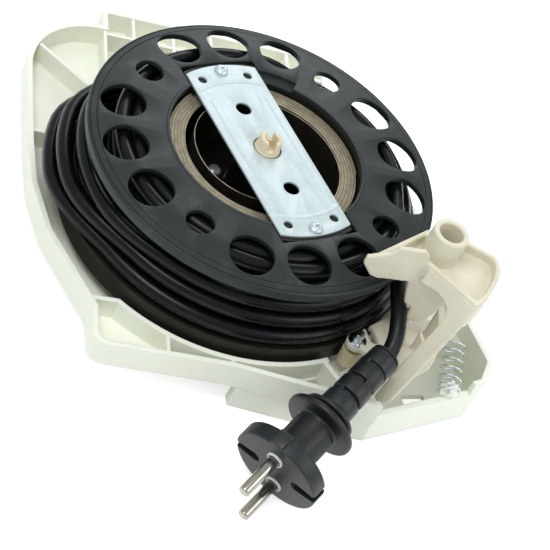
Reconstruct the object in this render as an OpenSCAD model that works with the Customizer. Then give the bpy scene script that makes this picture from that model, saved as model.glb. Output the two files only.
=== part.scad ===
// Spring cord rewinder: a tray, a sprung drum with slip rings, a brake lever with a roller,
// and a mains cord with a round plug. Z is the drum's axis, and the tray stands on z = 0.

/* [Drum] */
// Radius of the upper flange
flange_r = 75.9; // [75:0.1:77]
// Thickness of the upper flange
flange_t = 2.4; // [1.6:0.1:3]
// Height of the upper flange's flat top above the base
flange_top = 64; // [62:0.5:65]
// Radius of the flange's flat part, outside which it slopes down
flange_flat_r = 62; // [58:0.5:66]
// Drop of the flange's sloping part
flange_drop = 3.4; // [1:0.1:4.5]
// Depth of the flange's rim lip
lip_h = 4; // [2:0.1:5]
// Radius of the opening over the spring
opening_r = 42; // [40:0.5:44]
// Radius of the twelve large flange holes
big_hole_r = 9.5; // [6:0.1:10]
// Distance of the large holes from the axis
big_hole_at = 62; // [60:0.5:63]
// Radius of the four small flange holes
small_hole_r = 6.05; // [3:0.05:7]
// Distance of the small holes from the axis
small_hole_at = 58.7; // [57:0.1:62]
// Outer radius of the barrel
barrel_r = 50; // [48:0.5:51]
// Wall of the barrel
barrel_wall = 7.7; // [6:0.1:8.5]
// Radius of the lower flange and its brake ring
brake_r = 78; // [77:0.1:79]
// Wall of the brake ring
brake_wall = 3; // [2:0.1:5]
// Depth of the brake ring below the lower flange
brake_h = 6; // [5:0.5:7]
// Thickness of the lower flange
lower_t = 3; // [2:0.1:4]
// Height of the brake ring's lower edge
drum_z = 20; // [18.5:0.1:20]
// Outer radius of the bearing boss
boss_r = 11; // [9.5:0.1:11.5]
// Height of the bearing boss above the lower flange
boss_up = 5; // [2:0.5:6]
// Depth of the bearing boss below the brake ring's edge
boss_down = 4; // [2:0.1:5]

/* [Bridge plate] */
// Width of the bridge plate
plate_w = 34.4; // [30:0.1:36]
// Length of the bridge plate between its round ends
plate_len = 96; // [94:0.5:98]
// Thickness of the bridge plate
plate_t = 1; // [0.6:0.1:1.5]
// Direction of the plate's long axis
plate_turn = -66.9; // [-90:0.1:0]
// Distance of each plate screw from the axis
plate_screw_at = 44.6; // [44:0.1:45.5]
// Radius of the plate's hole round the axle
plate_hole_r = 6.25; // [6:0.05:7]
// Clearance round the plate in its notch
notch_gap = 0.8; // [0.3:0.1:1.5]
// Thickness of the seat under each plate end
seat_t = 2.4; // [1.5:0.1:3]

/* [Axle] */
// Radius of the bearing journal
journal_r = 7; // [6:0.05:8]
// Running clearance of the drum on the journal
journal_gap = 0.05; // [0.03:0.01:0.1]
// Height of the journal's top
journal_top = 62; // [61:0.5:63]
// Radius of the axle's free end
axle_r = 5.2; // [4.5:0.05:5.5]
// Height of the axle's top
axle_top = 69.8; // [69:0.1:74]
// Width of the slot in the axle's free end
slot_w = 3.2; // [2:0.1:4]
// Depth of that slot
slot_h = 3.4; // [2:0.1:3.6]
// Radius of the hole in the free end
axle_hole_r = 2.8; // [2:0.1:3]
// Step from the free end's radius in to its two prongs
prong_step = 0.3; // [0.2:0.05:0.5]
// Radius of the axle's foot
foot_r = 17; // [15:0.5:18]
// Thickness of the axle's foot
foot_t = 3; // [2:0.1:4]
// Radius of the axle's shoulder below the drum
shoulder_r = 10; // [9:0.1:11]
// Thickness of the thrust washer
washer_t = 0.6; // [0.4:0.1:1]

/* [Spring] */
// Width of the spring band
band_w = 24.5; // [20:0.5:25]
// Thickness of the spring band
band_t = 0.55; // [0.4:0.05:0.6]
// Step from one tight turn to the next
band_step = 1.05; // [1.02:0.01:1.1]
// Number of tight turns
band_turns = 7; // [5:1:7]
// Number of loose turns to the arbor
loose_turns = 1.25; // [1.25:0.25:2.25]
// Radius of the arbor
arbor_r = 11; // [10:0.5:13]
// Height of the arbor
arbor_h = 25; // [24:0.5:26]

/* [Tray] */
// Depth of the contact cup and deep corner below the shallow floor
base_h = 12; // [11:0.5:13]
// Thickness of the tray's floors
floor_t = 2.4; // [1.6:0.1:3]
// Thickness of the tray's walls
wall_t = 2.4; // [1.6:0.1:3]
// Height of the walls above the shallow floor's underside
wall_h = 12; // [10:0.5:14]
// Height of the front right wall's rim
low_rim = 18; // [17:0.5:18]
// Outer radius of the contact cup
cup_r = 38; // [37:0.5:42]
// Radius inside the rib round the drum
well_r = 80; // [79.6:0.1:80.5]
// Thickness of the rib round the drum
well_t = 2.2; // [1.6:0.1:2.4]
// Thickness of the small ribs
rib_t = 1.6; // [1.2:0.1:2.4]

/* [Contacts] */
// Thickness of the slip ring carrier
carrier_t = 3.2; // [2.5:0.1:3.6]
// Outer radius of the carrier
carrier_r = 35; // [35:0.5:40]
// Thickness of the slip rings
slip_t = 0.8; // [0.5:0.1:1.2]
// Radial width of each slip ring
slip_w = 3; // [2:0.1:3.4]
// Mean radius of the inner slip ring
slip_in_r = 25.5; // [25:0.1:26.5]
// Mean radius of the outer slip ring
slip_out_r = 31.5; // [31:0.1:32]
// Gap between each brush and its ring
brush_gap = 0.3; // [0.2:0.05:0.5]
// Height of the brush holder
holder_h = 5.6; // [5:0.1:6.5]

/* [Brake lever] */
// Distance of the lever's pivot along X
pivot_x = 64.3; // [64:0.1:65]
// Distance of the lever's pivot along Y
pivot_y = -54; // [-55:0.1:-54]
// Radius of the pivot pin
pin_r = 2.5; // [2:0.05:2.8]
// Running clearance of pins in their bores
pin_gap = 0.05; // [0.03:0.01:0.1]
// Radius of the lever's lower eye
eye_r = 5; // [4.4:0.1:5]
// Height of the lower eye
eye_h = 14; // [11:0.5:14]
// Thickness of the lever's lower plate
lever_t = 3; // [2:0.1:3.2]
// Height of the lower plate's underside
lever_z = 31; // [30.4:0.1:32]
// Thickness of the lever's upright walls
lever_wall = 2; // [1.5:0.1:2.5]
// Height of the rim round the lever's top
rim_z = 80; // [78:0.5:82]
// Height of the lever's top floor
top_floor_z = 75.5; // [74:0.5:76]
// Height of the skirt's lower edge
skirt_z = 66.4; // [66:0.1:68]
// Top of the lever's hollow boss
boss_top = 89.5; // [86:0.5:92]
// Outer radius of the hollow boss
top_boss_r = 6.9; // [6.5:0.1:8]
// Bore radius of the hollow boss
top_bore_r = 5.2; // [4:0.05:5.5]
// Radius of the brake roller
roller_r = 4; // [3.5:0.05:4.2]
// Gap between the roller and the brake ring
roller_gap = 0.3; // [0.2:0.05:0.5]
// Length of the brake roller
roller_h = 8; // [6:0.1:8.4]
// Direction of the roller from the drum's axis
roller_turn = -57.3; // [-60:0.1:-57]
// Radius of the roller's pin
roller_pin_r = 2; // [1.5:0.05:2]
// Length of the pin above the lever's plate
pin_over = 4.5; // [3.5:0.1:5]

/* [Coil springs] */
// Wire thickness of the return spring
coil_wire = 0.6; // [0.5:0.05:0.8]
// Mean radius of the return spring
coil_r = 4.7; // [4.4:0.1:5]
// Number of turns of the return spring
coil_turns = 6; // [4:1:7]
// Free length of the return spring
coil_len = 21; // [17:0.5:24]
// Wire thickness of the lever's torsion spring
twist_wire = 0.8; // [0.6:0.05:0.9]
// Mean radius of the torsion spring
twist_r = 3.9; // [3.8:0.1:4.2]
// Number of turns of the torsion spring
twist_turns = 3; // [2:1:4]

/* [Cord and plug] */
// Diameter of the cord
cord_d = 6.8; // [6:0.1:6.8]
// Distance of the winding's lowest loop inside the lower flange's edge
wind_in = 4; // [4:0.1:6]
// Radius of the winding's highest loop
wind_high_r = 65.1; // [65.1:0.1:66]
// Length of the plug, from its face to the end of the strain relief
plug_len = 69.5; // [67:0.5:72]
// Radius of the plug's face disc
face_r = 19.5; // [18:0.1:19.5]
// Thickness of the face disc
face_t = 7.2; // [6:0.1:9]
// Radius of the plug's neck
neck_r = 8.7; // [8:0.1:10]
// Radius of the large disc on the neck
big_disc_r = 15.5; // [12:0.5:16]
// Radius of the small disc on the neck
small_disc_r = 11.5; // [10:0.5:13]
// Radius of the plug pins
plug_pin_r = 2.4; // [2.35:0.01:2.45]
// Length of the plug pins outside the face
plug_pin_len = 19; // [18:0.5:20]
// Distance between the plug pins' axes
pin_pitch = 19; // [18.6:0.1:19.4]

/* [Fasteners] */
// Shank radius of the screws
screw_r = 1.5; // [1.2:0.1:1.6]
// Head radius of the screws
head_r = 3; // [2.6:0.1:3.2]
// Head height of the screws
head_h = 1.8; // [1.2:0.1:2]
// Depth of the long screws in what they hold to
screw_bite = 5; // [4:0.5:5]

/* [Hidden] */
$fn = 72;
EPS = 0.01;
FIT = 0.05;
UP = [0, 0, 1];

// Neck of the axle through the bridge plate
axle_step = 0.3;
axle_neck_top = flange_top + 0.3;

// Heights of the drum
lower_z = drum_z + brake_h;
lower_top = lower_z + lower_t;
barrel_top = flange_top - flange_t;
barrel_in_r = barrel_r - barrel_wall;
slope_top = flange_top - flange_drop;
rim_in_r = flange_r - flange_t;
plate_z = flange_top - plate_t;
seat_z = plate_z - seat_t;
notch_r = plate_len / 2 + notch_gap + 1.2;
bearing_z = drum_z - boss_down;
bearing_top = lower_top + boss_up;
carrier_z = lower_z - carrier_t;
slip_z = carrier_z - slip_t;
arbor_z = bearing_top + 0.3;
band_z = arbor_z + 0.7;
band_r = barrel_in_r - 0.6 - band_t / 2;
tight_r = band_r - band_turns * band_step;
arbor_end_r = arbor_r + 0.3 + band_t / 2;

// Places of the fasteners on their circles
plate_ends = [plate_turn, plate_turn + 180];
foot_screw_at = (foot_r + shoulder_r) / 2;
carrier_screw_at = 20;
carrier_screw_turns = [120, 240, 360];
foot_screw_turns = [30, 150, 270];

// Tray
shallow_z = base_h + floor_t;
tray_top = base_h + wall_h;
cup_in_r = cup_r - wall_t;
foot_pad_t = 4.6;
foot_z = floor_t + foot_pad_t;
lobe_at = [-56.5, 66.5];
lobe_r = 34.5;
side_r = 84;
corner_r = 6.5;
front_y = -85.4;
back_y = 112.5;
low_from = [57.5, -93.2];
low_to = [101.8, -73.5];
deep_x = -1;
deep_back = -40;
deep_step = 0.3;
rib_top = tray_top - 0.4;
pivot = [pivot_x, pivot_y];
post_top = lever_z - 7.3;

// Brake lever and roller
roller_at = (brake_r + roller_gap + roller_r) * [cos(roller_turn), sin(roller_turn)];
eye_z = post_top + 0.3;
eye_top = eye_z + eye_h;
lever_top = lever_z + lever_t;
roller_z = lower_top - roller_h - 0.5;
front_turn = 7.9;
front_from = [30, -67.2];
slant_left = [56.5, -63.6];
slant_right = [75.4, -82];
slant_foot = [59, -88.5, 20];
slant_turn = atan2(slant_right[1] - slant_left[1], slant_right[0] - slant_left[0]);
slant_skirt_z = 72.2;
arm_t = 3.2;
clip_t = 0.6;
pivot_pin_top = eye_top + twist_wire * (twist_turns + 3) + 2;

// Winding: the outer layer runs down from the exit, then turns in to meet the core
wind_exit_turn = -9;
wind_loops = 2 + 1 / 3;
wind_low_z = lower_top + cord_d / 2 + 0.4;
wind_high_z = 53;
wind_low_r = brake_r - wind_in;
loop_rings = 24;
cord_r = cord_d / 2;
// The core stays clear of the winding's flat facets, which reach in by their sag
core_gap = 0.5 + wind_low_r * (1 - cos(180 / loop_rings));
turn_in_r = 7.6;
core_flat_at = 56;
core_low_r = 58;
core_step_z = wind_low_z + cord_r + 0.5;
core_top_z = slope_top - flange_t - 0.6;

// Plug frame: its X axis points out of the face, along the pins
face_at = [9.2, -130.2, 19];
plug_yaw = 228.3;
plug_dip = 18.3;
plug_roll = 9.6;
plug_axis = [cos(plug_yaw) * cos(plug_dip), sin(plug_yaw) * cos(plug_dip), -sin(plug_dip)];
relief_from = 35.5;
relief_end = face_at - plug_len * plug_axis;

// Cord's free stretch between the drum and the strain relief
wind_exit_dir = [sin(wind_exit_turn), -cos(wind_exit_turn), 0];
wind_exit = [wind_high_r * cos(wind_exit_turn), wind_high_r * sin(wind_exit_turn), wind_high_z];
lead_start = wind_exit + cord_d * wind_exit_dir;
lead_points = concat(
    [lead_start, lead_start + cord_d * wind_exit_dir],
    [[60.6, -36, 52.6], [59.4, -46, 51.6], [58.5, -55, 50.6], [58, -63, 49.3], [58, -69.5, 47.3]],
    [relief_end - cord_d * plug_axis, relief_end]);

// Colours
CREAM = [0.86, 0.85, 0.76];
LEVER_CREAM = [0.84, 0.83, 0.75];
BLACK = [0.16, 0.17, 0.17];
CORD_BLACK = [0.07, 0.08, 0.09];
STEEL = [0.75, 0.78, 0.79];
SPRING_STEEL = [0.6, 0.56, 0.46];
COPPER = [0.72, 0.45, 0.3];
BRASS = [0.78, 0.66, 0.4];
WHITE = [0.9, 0.9, 0.88];
BROWN = [0.35, 0.24, 0.16];
TAN = [0.8, 0.74, 0.6];

function unit(v) = v / norm(v);
function turned(p, a) = [p[0] * cos(a) - p[1] * sin(a), p[0] * sin(a) + p[1] * cos(a)];
function arc(c, r, from, to, n = 12) =
    [for (i = [0:n]) c + r * [cos(from + (to - from) * i / n), sin(from + (to - from) * i / n)]];
function last(v) = v[len(v) - 1];

// Tangent of a route at its point i
function heading(pts, i) =
    unit(pts[min(i + 1, len(pts) - 1)] - pts[max(i - 1, 0)]);

// One ring of a tube round point p
function ring_points(p, t, up, r, sides) =
    let (u = unit(cross(t, up)), v = cross(u, t))
    [for (k = [0:sides - 1]) p + r * (cos(360 * k / sides) * u + sin(360 * k / sides) * v)];

// A closed tube of triangles along a route
module tube(pts, r, sides = 6, up = UP) {
    n = len(pts);
    skin = [for (i = [0:n - 1]) each ring_points(pts[i], heading(pts, i), up, r, sides)];
    sides_faces = [for (i = [0:n - 2], k = [0:sides - 1])
        let (a = i * sides + k, b = i * sides + (k + 1) % sides)
        each [[a, b, b + sides], [a, b + sides, a + sides]]];
    start_cap = [for (k = [1:sides - 2]) [0, k + 1, k]];
    end_cap = [for (k = [1:sides - 2]) (n - 1) * sides * [1, 1, 1] + [0, k, k + 1]];
    polyhedron(skin, concat(sides_faces, start_cap, end_cap));
}

// Least distance between points of a route that lie at least `skip` points apart
function least_gap(pts, skip) =
    min([for (i = [0:len(pts) - 1], j = [i + skip:1:len(pts) - 1]) norm(pts[i] - pts[j])]);

module ring(r_out, r_in, z0, z1) {
    translate([0, 0, z0]) difference() {
        cylinder(r = r_out, h = z1 - z0);
        translate([0, 0, -1]) cylinder(r = r_in, h = z1 - z0 + 2);
    }
}

module around(turns, at) {
    for (a = turns) rotate(a) translate([at, 0, 0]) children();
}

// A screw whose head's underside lies on z = 0
module screw(shank) {
    translate([0, 0, -shank]) cylinder(r = screw_r, h = shank + EPS, $fn = 32);
    difference() {
        cylinder(r = head_r, h = head_h, $fn = 40);
        for (a = [0, 90]) rotate(a) translate([-head_r * 0.6, -0.3, head_h - 0.9])
            cube([head_r * 1.2, 0.6, 1]);
    }
}

// A hole that takes a screw's shank below z = 0
module screw_hole(depth) {
    translate([0, 0, -depth]) cylinder(r = screw_r + FIT, h = depth + 1, $fn = 32);
}

// ---- Tray ----

function tray_outline() = concat(
    [[52, back_y], [-56, back_y], [-56, 101]],
    arc(lobe_at, lobe_r, 96, 180, 10),
    [[-90.2, 18], [-88.7, -5], [-82.7, -29.7], [-63.9, -66.4]],
    arc([-63.9 + corner_r, front_y + corner_r], corner_r, 180, 270, 5),
    [[-6, front_y], low_from, low_to, [107, -71], [112.3, -58.9], [104.4, -34.6], [87.5, 25]],
    arc([0, 0], side_r, 40, 51.8, 4));

module outline_2d(inset = 0) {
    offset(delta = -inset) polygon(tray_outline());
}

// The deep corner's plan, a small step inside the outline and outside the rib round the drum
module deep_2d(inset = 0) {
    offset(delta = -inset) difference() {
        intersection() {
            outline_2d(deep_step);
            polygon([[deep_x, -100], [120, -100], [120, deep_back], [60, deep_back], [deep_x, -80]]);
        }
        circle(r = well_r + well_t / 2, $fn = 120);
    }
}

// A straight upright rib from p to q
module rib(p, q, t) {
    d = q - p;
    translate([p[0], p[1], base_h + 1]) rotate(atan2(d[1], d[0])) translate([0, -t / 2, 0])
        cube([norm(d), t, rib_top - base_h - 1]);
}

// The tray's floors and outer walls
module tray_shell() {
    difference() {
        union() {
            translate([0, 0, base_h]) linear_extrude(wall_h) outline_2d();
            linear_extrude(base_h + 1) deep_2d();
            cylinder(r = cup_r, h = base_h + 1);
        }
        translate([0, 0, shallow_z]) linear_extrude(wall_h) outline_2d(wall_t);
        translate([0, 0, floor_t]) linear_extrude(base_h + 1) deep_2d(wall_t);
        translate([0, 0, floor_t]) cylinder(r = cup_in_r, h = base_h + 1);
    }
}

// Directions of the ends of the rib round the drum
well_from = -131.2;
well_to = -63.8;

module well_rib() {
    intersection() {
        ring(well_r + well_t, well_r, base_h + 1, rib_top);
        rotate(well_from) linear_extrude(tray_top)
            polygon(concat([[0, 0]], arc([0, 0], 120, 0, well_to - well_from, 6)));
    }
    well_end = (well_r + well_t / 2) * [cos(well_from + 0.4), sin(well_from + 0.4)];
    rib([-65.4, well_end[1] - 0.3], well_end, well_t);
    rib((well_r + well_t / 2) * [cos(-65.5), sin(-65.5)], [41.7, -86], well_t);
}

module back_ribs() {
    for (x = [-41.5, -22.6, -4.3, 33.2]) rib([x, 84], [x, back_y - 1], rib_t);
    rib([-55, 96.5], [51, 96.5], rib_t);
    rib([-85, 80.3], [-61.8, 58.5], rib_t);
}

module front_ribs() {
    for (x = [-33, -6]) {
        y = -sqrt(pow(well_r + well_t / 2, 2) - x * x);
        rib([x, y], [x, front_y + 1], rib_t);
    }
}

peg_dir = unit([1.9, 19.3, 8]);
peg_z = 20;
peg_along = 36.5;
peg_in = 1.3;
peg_w = 1.6;
peg_back = 0.8;
peg_l = 5;
coil_seat = 0.7;
low_turn = atan2(low_to[1] - low_from[1], low_to[0] - low_from[0]);
peg_xy = low_from + turned([peg_along, peg_in], low_turn);
peg_at = [peg_xy[0], peg_xy[1], peg_z];

// Places children on the front right wall's outer face, X along it and Y inwards
module on_low_wall() {
    translate([low_from[0], low_from[1], 0]) rotate(low_turn) children();
}

// Plus-shaped peg on the low rim that carries the return spring
module spring_peg() {
    arm = 2 * (coil_r - coil_wire / 2 - 0.4);
    translate(peg_at) rotate([0, 0, -atan2(peg_dir[0], peg_dir[1])])
        rotate([asin(peg_dir[2]), 0, 0]) for (a = [0, 90]) rotate([0, a, 0])
            translate([-arm / 2, -peg_back, -peg_w / 2]) cube([arm, peg_back + peg_l, peg_w]);
}

module tray() {
    color(CREAM) difference() {
        union() {
            difference() {
                tray_shell();
                // Low rim of the front right wall
                on_low_wall() translate([0, -5, low_rim])
                    cube([norm(low_to - low_from), wall_t + 7, 20]);
            }
            translate([0, 0, floor_t - 1]) cylinder(r = foot_r + 1, h = foot_pad_t + 1);
            well_rib();
            back_ribs();
            front_ribs();
            spring_peg();
            translate([pivot_x, pivot_y, floor_t / 2])
                cylinder(r = eye_r, h = post_top - floor_t / 2);
        }
        // Slot in the deep floor
        translate([83.5, -68.5, -1]) rotate(12) cube([11, 5, 2 * floor_t + 2], center = true);
        // Holes for the pivot pin and the screws
        translate([pivot_x, pivot_y, floor_t]) cylinder(r = pin_r + FIT, h = post_top);
        translate([0, 0, foot_z]) around(foot_screw_turns, foot_screw_at) screw_hole(screw_bite + 1);
        translate([0, 0, floor_t]) holder_screw_places() screw_hole(floor_t - 0.8);
        // Ways out for the power tabs
        tab_places() translate([-cup_r - 1, -tab_w / 2 - tab_gap, -tab_gap])
            cube([wall_t + 4, tab_w + 2 * tab_gap, tab_t + 2 * tab_gap]);
    }
}

// ---- Axle and bearing ----

module axle() {
    color(CREAM) difference() {
        union() {
            translate([0, 0, foot_z]) cylinder(r = foot_r, h = foot_t);
            translate([0, 0, foot_z]) cylinder(r = shoulder_r, h = bearing_z - washer_t - foot_z);
            translate([0, 0, foot_z]) cylinder(r = journal_r, h = journal_top - foot_z);
            translate([0, 0, foot_z]) cylinder(r = axle_r + axle_step, h = axle_neck_top - foot_z);
            translate([0, 0, foot_z]) cylinder(r = axle_r, h = axle_top - slot_h - foot_z);
            translate([0, 0, foot_z]) cylinder(r = axle_r - prong_step, h = axle_top - foot_z);
        }
        translate([0, 0, axle_top - slot_h]) cylinder(r = axle_hole_r, h = slot_h + 1);
        translate([-slot_w / 2, -axle_r - 1, axle_top - slot_h])
            cube([slot_w, 2 * axle_r + 2, slot_h + 1]);
        translate([0, 0, foot_z + foot_t]) around(foot_screw_turns, foot_screw_at)
            screw_hole(foot_t + 1);
    }
}

module axle_screws() {
    color(STEEL) translate([0, 0, foot_z + foot_t]) around(foot_screw_turns, foot_screw_at)
        screw(foot_t + screw_bite);
}

module thrust_washer() {
    color(WHITE) ring(shoulder_r, journal_r + FIT, bearing_z - washer_t, bearing_z);
}

module spring_arbor() {
    color(STEEL) difference() {
        ring(arbor_r, journal_r + FIT, arbor_z, arbor_z + arbor_h);
        translate([arbor_r - 1.5, -0.5, arbor_z - 1]) cube([3, 1, arbor_h + 2]);
    }
}

// ---- Contacts ----

tab_w = 6.3;
tab_t = 0.8;
tab_z = floor_t + 2.2;
tab_y = 7;
tab_gap = 0.2;
tab_out = 8;
tab_seat = 12.6;
holder_y = 15;
holder_from = 19;
holder_to = cup_in_r - 0.4;
leaf_t = 0.4;
leaf_w = 2.4;

module tab_places() {
    for (y = [-tab_y, tab_y]) translate([0, y, tab_z]) children();
}

module holder_screw_places() {
    for (y = [-12.4, 12.4]) translate([-25, y, 0]) children();
}

module brush_holder() {
    color(BROWN) difference() {
        intersection() {
            ring(holder_to, holder_from, floor_t, floor_t + holder_h);
            translate([-50, -holder_y, 0]) cube([50, 2 * holder_y, 20]);
        }
        tab_places() translate([-50, -tab_w / 2 - FIT, -FIT])
            cube([50 - cup_in_r + tab_seat, tab_w + 2 * FIT, tab_t + 2 * FIT]);
        translate([0, 0, floor_t + holder_h]) holder_screw_places() screw_hole(holder_h + 1);
    }
}

module holder_screws() {
    color(STEEL) translate([0, 0, floor_t + holder_h]) holder_screw_places()
        screw(holder_h + 1.2);
}

// Bent copper leaf whose tip stands just below a slip ring
module leaf(r) {
    foot = floor_t + holder_h;
    tip = slip_z - brush_gap;
    translate([-r + leaf_w / 2, 0, 0]) rotate([90, 0, -90]) linear_extrude(leaf_w)
        polygon([[-8, foot], [-2, foot], [2.5, tip - leaf_t], [4, tip - leaf_t], [7, tip - 2.5],
                 [7, tip - 2.5 + leaf_t], [4.2, tip], [2.2, tip], [-2.3, foot + leaf_t],
                 [-8, foot + leaf_t]]);
}

module contact_brushes() {
    color(COPPER) {
        leaf(slip_in_r);
        leaf(slip_out_r);
    }
}

module power_tabs() {
    color(BRASS) tab_places() difference() {
        translate([-cup_r - tab_out, -tab_w / 2, 0]) cube([tab_out + wall_t + tab_seat, tab_w, tab_t]);
        translate([-cup_r - tab_out / 2, 0, -1]) cylinder(r = 0.85, h = 3, $fn = 24);
    }
}

module slip_ring_carrier() {
    color(BROWN) difference() {
        ring(carrier_r, boss_r + 0.3, carrier_z, lower_z);
        translate([0, 0, lower_z + 1]) around(carrier_screw_turns, carrier_screw_at)
            screw_hole(carrier_t);
    }
}

module slip_rings() {
    color(COPPER) for (r = [slip_in_r, slip_out_r])
        ring(r + slip_w / 2, r - slip_w / 2, slip_z, carrier_z);
}

module carrier_screws() {
    color(STEEL) translate([0, 0, lower_top]) around(carrier_screw_turns, carrier_screw_at)
        screw(lower_t + carrier_t - 1);
}

// ---- Drum ----

// Seats at the two ends of the bridge plate
module plate_seats() {
    intersection() {
        ring(barrel_r, barrel_in_r - 2.6, seat_z, plate_z);
        rotate(plate_turn) translate([-60, -plate_w / 2, 0]) cube([120, plate_w, 80]);
    }
}

module drum_hub() {
    color(BLACK) difference() {
        union() {
            ring(brake_r, journal_r + journal_gap, lower_z, lower_top);
            ring(brake_r, brake_r - brake_wall, drum_z, lower_top);
            ring(boss_r, journal_r + journal_gap, bearing_z, bearing_top);
            ring(barrel_r, barrel_in_r, lower_z, barrel_top);
            plate_seats();
        }
        translate([0, 0, plate_z]) around(plate_ends, plate_screw_at) screw_hole(screw_bite + 1);
        translate([0, 0, lower_top]) around(carrier_screw_turns, carrier_screw_at)
            screw_hole(lower_t + 1);
    }
}

// Notches in the flange's opening that let in the plate's ends
module plate_notches() {
    intersection() {
        translate([0, 0, barrel_top - 1]) cylinder(r = notch_r, h = flange_t + 2);
        rotate(plate_turn) translate([-60, -plate_w / 2 - notch_gap, barrel_top - 1])
            cube([120, plate_w + 2 * notch_gap, flange_t + 2]);
    }
}

module upper_flange() {
    color(BLACK) difference() {
        rotate_extrude($fn = 144) polygon([[opening_r, barrel_top], [flange_flat_r, barrel_top],
            [rim_in_r, slope_top - flange_t], [rim_in_r, slope_top - lip_h],
            [flange_r, slope_top - lip_h], [flange_r, slope_top], [rim_in_r, slope_top],
            [rim_in_r, slope_top + 0.8], [flange_flat_r, flange_top], [opening_r, flange_top]]);
        plate_notches();
        for (i = [0:15]) {
            small = i % 4 == 0;
            rotate(57.3 + i * 22.5) translate([small ? small_hole_at : big_hole_at, 0, 50])
                cylinder(r = small ? small_hole_r : big_hole_r, h = 20, $fn = 48);
        }
    }
}

plate_small_holes = [[-40.6, 11.2], [-40.6, -11.2], [40.6, 11.2], [40.6, -11.2]];
groove_at = 13.2;
groove_len = 57;
groove_depth = 0.3;

module bridge_plate() {
    color(STEEL) translate([0, 0, plate_z]) rotate(plate_turn) difference() {
        intersection() {
            cylinder(r = plate_len / 2, h = plate_t);
            translate([-60, -plate_w / 2, -1]) cube([120, plate_w, plate_t + 2]);
        }
        translate([0, 0, -1]) {
            cylinder(r = plate_hole_r, h = plate_t + 2);
            for (x = [-22.5, 22.5]) translate([x, 0, 0]) cylinder(r = 3.5, h = plate_t + 2);
            for (p = plate_small_holes) translate(p) cylinder(r = 2, h = plate_t + 2, $fn = 32);
        }
        translate([0, 0, plate_t]) {
            for (y = [-groove_at, groove_at]) translate([-groove_len / 2, y - 0.6, -groove_depth])
                cube([groove_len, 1.2, 1]);
            around([0, 180], plate_screw_at) screw_hole(plate_t + 1);
        }
    }
}

module bridge_screws() {
    color(STEEL) translate([0, 0, flange_top]) around(plate_ends, plate_screw_at)
        screw(plate_t + screw_bite);
}

// Radius of the spring band after a number of turns from its outer end
function band_radius(n) = n < band_turns
    ? band_r - n * band_step
    : tight_r - (tight_r - arbor_end_r) * (n - band_turns) / loose_turns;
band_steps = 20;
band_count = band_steps * (band_turns + loose_turns);

function band_side(shift) = [for (i = [0:band_count])
    let (a = 360 * i / band_steps, r = band_radius(i / band_steps) + shift)
    r * [cos(a), sin(a)]];

module spiral_spring() {
    inner = band_side(-band_t / 2);
    outer = band_side(band_t / 2);
    echo(least_gap_of_spiral_spring = band_step - band_t);
    color(SPRING_STEEL) translate([0, 0, band_z]) linear_extrude(band_w)
        polygon(concat(outer, [for (i = [band_count:-1:0]) inner[i]]));
}

// ---- Cord ----

function wind_radius(s) = wind_high_r + (wind_low_r - wind_high_r) * s;
function wind_height(s) = wind_high_z + (wind_low_z - wind_high_z) * s;
wind_rings = loop_rings * wind_loops;
wind_end_turn = wind_exit_turn + 360 * wind_loops;

function wind_route() =
    let (c = (wind_low_r - turn_in_r) * [cos(wind_end_turn), sin(wind_end_turn)],
         bend = arc(c, turn_in_r, wind_end_turn, wind_end_turn + 90, 5),
         inward = [-cos(wind_end_turn), -sin(wind_end_turn)],
         stop = last(bend) + (wind_low_r - turn_in_r - core_flat_at) * inward)
    concat(
        [lead_start],
        [for (i = [0:wind_rings - 1]) let (s = i / wind_rings, a = wind_exit_turn + 360 * s * wind_loops)
            [wind_radius(s) * cos(a), wind_radius(s) * sin(a), wind_height(s)]],
        [for (p = concat(bend, [stop])) [p[0], p[1], wind_low_z]]);

module cord_winding() {
    route = wind_route();
    echo(least_gap_of_cord_winding = least_gap(route, 12) - cord_d);
    color(CORD_BLACK) tube(route, cord_r);
}

// Inner layers: a plain body behind the winding, stepped in and flat where the cord turns in
module cord_core() {
    top_r = wind_high_r - cord_r - core_gap;
    low_r = wind_low_r - cord_r - core_gap;
    step_r = low_r - (low_r - top_r) * (core_step_z - wind_low_z) / (wind_high_z - wind_low_z);
    in_r = barrel_r + 0.05;
    color(CORD_BLACK) {
        rotate_extrude($fn = 144) polygon([[in_r, core_step_z], [step_r, core_step_z],
            [top_r, wind_high_z], [top_r, core_top_z], [in_r, core_top_z]]);
        intersection() {
            ring(core_low_r, in_r, lower_top, core_step_z);
            rotate(wind_end_turn) translate([-100, -100, 0])
                cube([100 + core_flat_at, 200, 100]);
        }
    }
}

module cord_lead() {
    color(CORD_BLACK) tube(lead_points, cord_r, 10);
}

module plug_frame() {
    translate(face_at) rotate([plug_roll, plug_dip, plug_yaw]) children();
}

// A round body along the plug's axis from depth x0 to depth x1 behind the face
module plug_round(x0, x1, r) {
    translate([-x1, 0, 0]) rotate([0, 90, 0]) cylinder(r = r, h = x1 - x0);
}

relief_r = 7.6;
relief_end_r = 6.6;
relief_parts = 4;
big_disc_from = 26;
big_disc_t = 3;
small_disc_from = 31.5;
small_disc_t = 2;
neck_flare = 2.5;
collar_r = 4.4;
collar_in = 2;
collar_out = 1.2;
pin_seat = 8;
pin_step = 0.2;

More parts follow.
